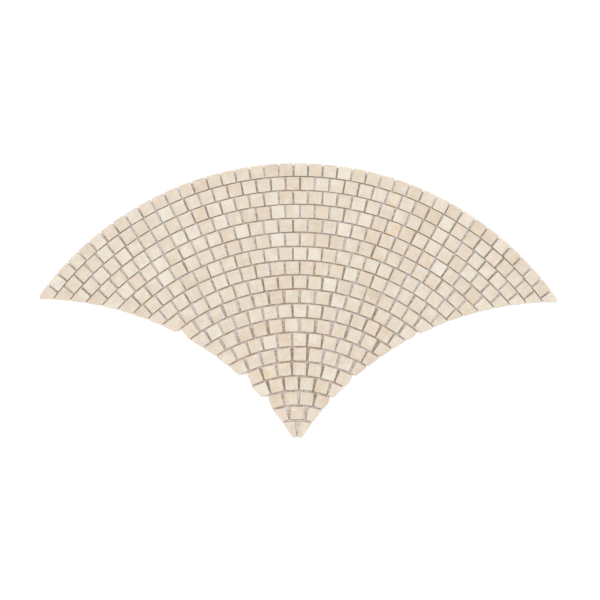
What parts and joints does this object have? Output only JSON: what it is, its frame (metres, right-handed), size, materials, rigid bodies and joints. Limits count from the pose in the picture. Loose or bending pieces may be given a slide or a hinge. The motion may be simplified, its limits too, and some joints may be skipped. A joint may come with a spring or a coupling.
{
  "type": "fish scale mosaic tile",
  "caption": "Fan-shaped mosaic sheet of small square marble stones in arched courses on a net backing, for fish scale floors and walls.",
  "frame": {"origin": "Middle of the fan's box in plan, on the back of the net", "axes": "+X from tip to tip, +Y from the foot to the crown, +Z out of the stones' faces"},
  "size_m": [0.6, 0.3182, 0.01],
  "materials": {
    "marble": "honed",
    "net": "woven glass fibre, stiffened with glue"
  },
  "bodies": {
    "root": {"course_01": "marble", "course_02": "marble", "course_03": "marble", "course_04": "marble", "course_05": "marble", "course_06": "marble", "course_07": "marble", "course_08": "marble", "course_09": "marble", "course_10": "marble", "course_11": "marble", "course_12": "marble", "course_13": "marble", "course_14": "marble", "course_15": "marble", "course_16": "marble", "course_17": "marble", "course_18": "marble", "course_19": "marble", "backing_net": "net"}
  },
  "joints": []
}
